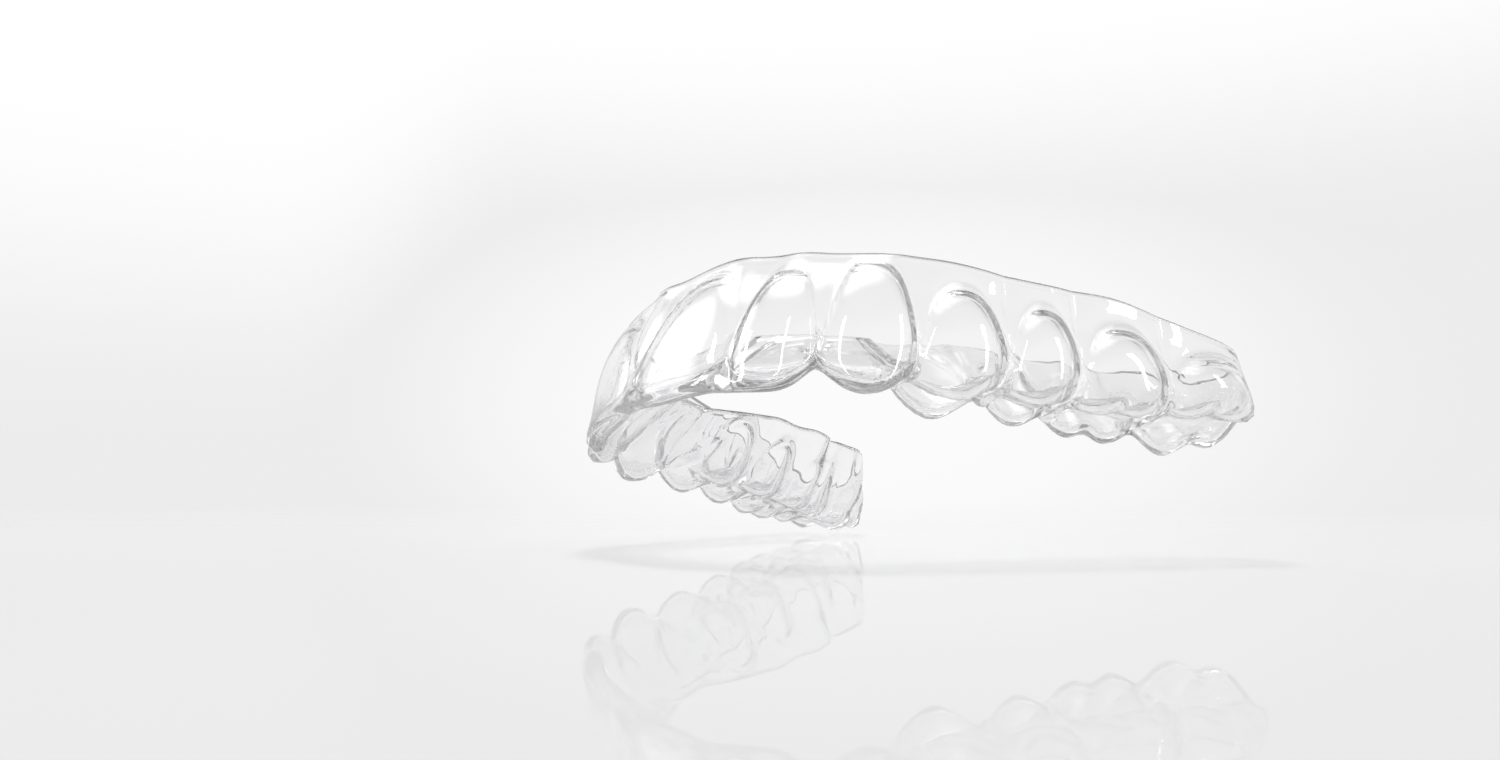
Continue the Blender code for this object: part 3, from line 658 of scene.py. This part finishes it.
def fine_shell():
    """Points and faces of the shown shell, with a rounded rim, laid in the CAD part's place."""
    sections, fan = half_grid(column_stops(), WALL_ROWS, TURN_ROWS, END_COLUMNS)
    inner, index, ends = surface_points(sections, fan, 0.0)
    outer, _, _ = surface_points(sections, fan, SHEET_THICKNESS)
    faces, loop = surface_faces(index, ends)
    count = len(inner)
    faces = faces + [tuple(i + count for i in face) for face in faces]
    rings = [loop]
    rim_points = []
    for step in range(1, RIM_STEPS):
        share = step / RIM_STEPS
        ring = inner[loop] * (1.0 - share) + outer[loop] * share
        ring[:, 2] += RIM_BULGE * math.sin(math.pi * share)
        rings.append([2 * count + len(loop) * (step - 1) + i for i in range(len(loop))])
        rim_points.append(ring)
    rings.append([i + count for i in loop])
    for near, far in zip(rings[:-1], rings[1:]):
        for i in range(len(loop)):
            j = (i + 1) % len(loop)
            faces.append((near[i], near[j], far[j], far[i]))
    points = settle(np.concatenate([inner, outer] + rim_points))
    # The rim mask marks the rings that get the painted dark line and the duller roughness
    on_rim = np.zeros(len(points))
    on_rim[np.concatenate(rings[-RIM_DARK_RINGS:])] = 1.0
    return points, faces, on_rim


def node_tree(block):
    """Node tree of a new material or world."""
    block.use_nodes = True
    return block.node_tree


def new_node(tree, kind, **values):
    """A node of the tree with its properties or input sockets set."""
    node = tree.nodes.new(kind)
    for key, value in values.items():
        if key in node.inputs:
            node.inputs[key].default_value = value
        else:
            setattr(node, key, value)
    return node


def feed(tree, value, socket):
    """Links another node's output to a socket, or sets the socket to a plain value."""
    if hasattr(value, "is_linked"):
        tree.links.new(value, socket)
    else:
        socket.default_value = value


def calc(tree, operation, first, second=0.0):
    """Output of a Math node."""
    node = new_node(tree, "ShaderNodeMath", operation=operation)
    feed(tree, first, node.inputs[0])
    feed(tree, second, node.inputs[1])
    return node.outputs[0]


def component(tree, vector, direction):
    """Component of a vector along a fixed direction."""
    node = new_node(tree, "ShaderNodeVectorMath", operation="DOT_PRODUCT")
    tree.links.new(vector, node.inputs[0])
    node.inputs[1].default_value = direction
    return node.outputs["Value"]


def graded(tree, value, start, end, at_start, at_end):
    """Smooth step from one level to another as a value goes from start to end."""
    node = new_node(tree, "ShaderNodeMapRange", interpolation_type="SMOOTHSTEP")
    for name, given in (("Value", value), ("From Min", start), ("From Max", end),
                        ("To Min", at_start), ("To Max", at_end)):
        feed(tree, given, node.inputs[name])
    return node.outputs["Result"]


def blend(tree, share, first, second):
    """Mix of two shaders: the second one's share goes from 0 to 1."""
    node = new_node(tree, "ShaderNodeMixShader")
    feed(tree, share, node.inputs[0])
    tree.links.new(first, node.inputs[1])
    tree.links.new(second, node.inputs[2])
    return node.outputs[0]


def seen_edge_on(tree):
    """How far a surface is turned away from the viewer, from 0 to 1."""
    return new_node(tree, "ShaderNodeLayerWeight").outputs["Facing"]


def sheet_tint_and_painted_shade(tree, place, on_rim):
    """Nearly clear tint, with painted shade where the sheet is seen edge on and along its cut
    edge.
    """
    height = component(tree, place, (0.0, 0.0, 1.0))
    # Painted shade: darker where the sheet is seen edge on, and darker still along the cut edge
    edge_start = graded(tree, height, *EDGE_HEIGHTS, LOW_EDGE_START, HIGH_EDGE_START)
    edge = graded(tree, seen_edge_on(tree), edge_start, 1.0, SHEET_TINT, EDGE_PAINTED_SHADE)
    grey = calc(tree, "MULTIPLY", edge, graded(tree, on_rim, *RIM_FADE, 1.0, RIM_PAINTED_SHADE))
    colour = new_node(tree, "ShaderNodeCombineColor")
    tree.links.new(grey, colour.inputs["Red"])
    tree.links.new(grey, colour.inputs["Green"])
    tree.links.new(calc(tree, "MULTIPLY", grey, SHEET_BLUE_LIFT), colour.inputs["Blue"])
    return colour.outputs["Color"]


def sheet_roughness(tree, place, on_rim):
    """Faint uneven haze, and a duller cut edge."""
    haze = new_node(tree, "ShaderNodeTexNoise", Scale=HAZE_SCALE, Detail=HAZE_DETAIL)
    tree.links.new(place, haze.inputs["Vector"])
    uneven = graded(tree, haze.outputs["Fac"], *HAZE_RANGE, *SHEET_ROUGHNESS)
    return calc(tree, "ADD", uneven, calc(tree, "MULTIPLY", on_rim, RIM_ROUGHNESS))


def sheet_ripple(tree, place):
    """Normal of the faint ripples of a sheet formed under heat."""
    ripple = new_node(tree, "ShaderNodeTexNoise", Scale=RIPPLE_SCALE, Detail=RIPPLE_DETAIL)
    bump = new_node(tree, "ShaderNodeBump", Strength=RIPPLE_STRENGTH, Distance=RIPPLE_HEIGHT)
    tree.links.new(place, ripple.inputs["Vector"])
    tree.links.new(ripple.outputs["Fac"], bump.inputs["Height"])
    return bump.outputs["Normal"]


def sheet_material():
    """Clear thermoformed plastic that absorbs a little and casts a pale shadow."""
    material = bpy.data.materials.new("clear_sheet")
    tree = node_tree(material)
    place = new_node(tree, "ShaderNodeTexCoord").outputs["Object"]
    on_rim = new_node(tree, "ShaderNodeAttribute", attribute_name="rim").outputs["Fac"]
    plastic = tree.nodes["Principled BSDF"]
    plastic.inputs["IOR"].default_value = SHEET_IOR
    plastic.inputs["Transmission Weight"].default_value = 1.0
    # The base colour carries the painted edge shade as well as the sheet's own tint
    tree.links.new(sheet_tint_and_painted_shade(tree, place, on_rim), plastic.inputs["Base Color"])
    tree.links.new(sheet_roughness(tree, place, on_rim), plastic.inputs["Roughness"])
    tree.links.new(sheet_ripple(tree, place), plastic.inputs["Normal"])

    for_shadows = new_node(tree, "ShaderNodeBsdfTransparent", Color=SHADOW_TINT)
    shadow_ray = new_node(tree, "ShaderNodeLightPath").outputs["Is Shadow Ray"]
    surface = blend(tree, shadow_ray, plastic.outputs["BSDF"], for_shadows.outputs["BSDF"])
    inside = new_node(tree, "ShaderNodeVolumeAbsorption", Color=BLACK, Density=SHEET_ABSORPTION)
    output = tree.nodes["Material Output"]
    tree.links.new(surface, output.inputs["Surface"])
    tree.links.new(inside.outputs["Volume"], output.inputs["Volume"])
    return material


def make_shell():
    """The shown aligner, which stands in for the CAD shell."""
    points, faces, on_rim = fine_shell()
    mesh = bpy.data.meshes.new("aligner")
    mesh.from_pydata(points.tolist(), [], [[int(i) for i in face] for face in faces])
    shape = bmesh.new()
    shape.from_mesh(mesh)
    bmesh.ops.recalc_face_normals(shape, faces=shape.faces)
    shape.to_mesh(mesh)
    shape.free()
    mesh.shade_smooth()
    cut = mesh.attributes.new("rim", "FLOAT", "POINT")
    cut.data.foreach_set("value", on_rim)
    mesh.materials.append(sheet_material())
    shell = bpy.data.objects.new("aligner", mesh)
    bpy.context.collection.objects.link(shell)
    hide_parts("aligner_shell")
    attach(shell, "root")
    return shell


def camera_axes():
    """Right, up and back directions of the camera."""
    azimuth = math.radians(CAMERA_AZIMUTH)
    elevation = math.radians(CAMERA_ELEVATION)
    roll = math.radians(CAMERA_ROLL)
    back = Vector((math.sin(azimuth) * math.cos(elevation),
                   -math.cos(azimuth) * math.cos(elevation),
                   math.sin(elevation)))
    level = (-back).cross(Vector((0.0, 0.0, 1.0))).normalized()
    upright = level.cross(-back)
    right = math.cos(roll) * level + math.sin(roll) * upright
    up = math.cos(roll) * upright - math.sin(roll) * level
    return right, up, back


def axes_matrix(x_axis, y_axis, z_axis, place):
    """Matrix of an object with the given axes and place."""
    matrix = Matrix((x_axis, y_axis, z_axis)).transposed().to_4x4()
    matrix.translation = place
    return matrix


def make_camera():
    """The photo's camera."""
    data = bpy.data.cameras.new("camera")
    data.lens = CAMERA_LENS
    data.sensor_width = CAMERA_SENSOR
    data.clip_start, data.clip_end = CAMERA_CLIP
    camera = bpy.data.objects.new("camera", data)
    camera.matrix_world = axes_matrix(*camera_axes(), CAMERA_PLACE)
    bpy.context.collection.objects.link(camera)
    bpy.context.scene.camera = camera


def floor_axes():
    """Side, away and up directions of the floor: away points from the camera."""
    forward = -camera_axes()[2]
    away = (forward - FLOOR_NORMAL * forward.dot(FLOOR_NORMAL)).normalized()
    return away.cross(FLOOR_NORMAL), away, FLOOR_NORMAL


def floor_openness(tree):
    """How far the floor lets the backdrop through, rising to 1 at its edges."""
    place = new_node(tree, "ShaderNodeTexCoord").outputs["Object"]
    sideways = calc(tree, "ABSOLUTE", component(tree, place, (1.0, 0.0, 0.0)))
    away = component(tree, place, (0.0, 1.0, 0.0))
    at_sides = graded(tree, sideways, FLOOR_SIDE_REACH - FLOOR_FADE, FLOOR_SIDE_REACH,
                      FLOOR_THINNING, 1.0)
    at_far_end = graded(tree, away, FLOOR_FAR_REACH - FLOOR_FADE, FLOOR_FAR_REACH,
                        FLOOR_THINNING, 1.0)
    at_near_end = graded(tree, away, -FLOOR_NEAR_REACH, -FLOOR_NEAR_FADE_END,
                         1.0, FLOOR_THINNING)
    return calc(tree, "MAXIMUM", calc(tree, "MAXIMUM", at_sides, at_far_end), at_near_end)


def floor_material():
    """Pale floor, glossier where it is seen at a low angle."""
    material = bpy.data.materials.new("floor")
    tree = node_tree(material)
    tree.nodes.clear()
    matt = new_node(tree, "ShaderNodeBsdfDiffuse", Color=FLOOR_COLOUR).outputs["BSDF"]
    gloss = new_node(tree, "ShaderNodeBsdfGlossy", Color=WHITE,
                     Roughness=FLOOR_HAZE).outputs["BSDF"]
    clear = new_node(tree, "ShaderNodeBsdfTransparent").outputs["BSDF"]
    gloss_share = graded(tree, seen_edge_on(tree), *FLOOR_GLOSS_FACING, *FLOOR_GLOSS)
    solid = blend(tree, gloss_share, matt, gloss)
    output = new_node(tree, "ShaderNodeOutputMaterial")
    tree.links.new(blend(tree, floor_openness(tree), solid, clear), output.inputs["Surface"])
    return material


def make_floor():
    """The floor, with its own Y running away from the point below the camera."""
    side, away, up = floor_axes()
    foot = CAMERA_PLACE - up * (CAMERA_PLACE.dot(up) - FLOOR_LEVEL)
    x, near, far = FLOOR_SIDE_REACH, -FLOOR_NEAR_REACH, FLOOR_FAR_REACH
    corners = [(-x, near, 0.0), (x, near, 0.0), (x, far, 0.0), (-x, far, 0.0)]
    mesh = bpy.data.meshes.new("floor")
    mesh.from_pydata(corners, [], [(0, 1, 2, 3)])
    mesh.materials.append(floor_material())
    floor = bpy.data.objects.new("floor", mesh)
    floor.matrix_world = axes_matrix(side, away, up, foot)
    bpy.context.collection.objects.link(floor)


def backdrop(tree, side, away, up):
    """Level of the backdrop in a view direction."""
    heights = [graded(tree, side, *LEFT_TO_RIGHT, left, right)
               for left, right in zip(LEFT_HEIGHTS, RIGHT_HEIGHTS)]
    gradient = graded(tree, up, *heights, LOW_GREY, 1.0)
    offsets = [calc(tree, "DIVIDE", calc(tree, "SUBTRACT", part, centre), reach)
               for part, centre, reach in zip((side, up), GLOW_CENTRE, GLOW_REACH)]
    spread = calc(tree, "ADD", *[calc(tree, "MULTIPLY", part, part) for part in offsets])
    glow = calc(tree, "MULTIPLY", graded(tree, spread, 0.0, 1.0, GLOW_LEVEL, LOW_GREY),
                graded(tree, away, *GLOW_AWAY, 0.0, 1.0))
    return calc(tree, "MAXIMUM", gradient, glow)


def panel_light(tree, ray):
    """Light of all panels in a mirrored direction."""
    total = 0.0
    for panel in PANELS:
        middle = sum((part * axis for part, axis in zip(panel.direction, floor_axes())), Vector())
        nearness = component(tree, ray, middle.normalized())
        light = graded(tree, nearness, panel.reach, 1.0, 0.0, panel.level)
        total = calc(tree, "ADD", total, light)
    return total


def make_world():
    """White studio: an even light, and the backdrop for what is seen, mirrored or refracted."""
    world = bpy.data.worlds.new("studio")
    bpy.context.scene.world = world
    tree = node_tree(world)
    tree.nodes.clear()
    ray = new_node(tree, "ShaderNodeTexCoord").outputs["Generated"]
    side, away, up = (component(tree, ray, axis) for axis in floor_axes())
    path = new_node(tree, "ShaderNodeLightPath").outputs
    seen_level = backdrop(tree, side, away, up)
    bent_level = calc(tree, "MULTIPLY", seen_level,
                      graded(tree, up, *HIGH_DARK_HEIGHTS, 1.0, HIGH_DARK))
    panels = calc(tree, "MULTIPLY", panel_light(tree, ray), path["Is Glossy Ray"])
    bent_level = calc(tree, "ADD", bent_level, panels)
    seen = new_node(tree, "ShaderNodeBackground")
    bent = new_node(tree, "ShaderNodeBackground")
    even = new_node(tree, "ShaderNodeBackground", Color=WORLD_LIGHT)
    tree.links.new(seen_level, seen.inputs["Color"])
    tree.links.new(bent_level, bent.inputs["Color"])
    bent_ray = calc(tree, "MAXIMUM", path["Is Transmission Ray"], path["Is Glossy Ray"])
    unseen = blend(tree, bent_ray, even.outputs[0], bent.outputs[0])
    output = new_node(tree, "ShaderNodeOutputWorld")
    tree.links.new(blend(tree, path["Is Camera Ray"], unseen, seen.outputs[0]),
                   output.inputs["Surface"])


def make_softbox(box, glossy_pieces):
    """A rectangular light that faces the part. A mirrored one is a highlight on those pieces."""
    side, away, up = floor_axes()
    place = PART_MIDDLE + box.side * side + box.away * away + box.up * up
    data = bpy.data.lights.new(box.name, "AREA")
    data.shape = "RECTANGLE"
    data.size = box.wide
    data.size_y = box.tall
    data.energy = box.radiance * math.pi * box.wide * box.tall
    light = bpy.data.objects.new(box.name, data)
    back = (place - PART_MIDDLE).normalized()
    right = up.cross(back).normalized()
    light.matrix_world = axes_matrix(right, back.cross(right), back, place)
    light.visible_camera = False
    light.visible_transmission = False
    light.visible_glossy = box.mirrored
    if box.mirrored:
        light.light_linking.receiver_collection = glossy_pieces
    bpy.context.collection.objects.link(light)


def set_rendering():
    """Plain colours, and enough bounces to see through every layer of the sheet."""
    scene = bpy.context.scene
    scene.view_settings.view_transform = "Standard"
    scene.cycles.max_bounces = LIGHT_BOUNCES
    scene.cycles.transmission_bounces = LIGHT_BOUNCES
    scene.cycles.glossy_bounces = GLOSSY_BOUNCES
    scene.cycles.transparent_max_bounces = CUT_OUT_BOUNCES


glossy_pieces = bpy.data.collections.new("glossy_pieces")
glossy_pieces.objects.link(make_shell())
make_camera()
make_floor()
make_world()
for softbox in SOFTBOXES:
    make_softbox(softbox, glossy_pieces)
set_rendering()
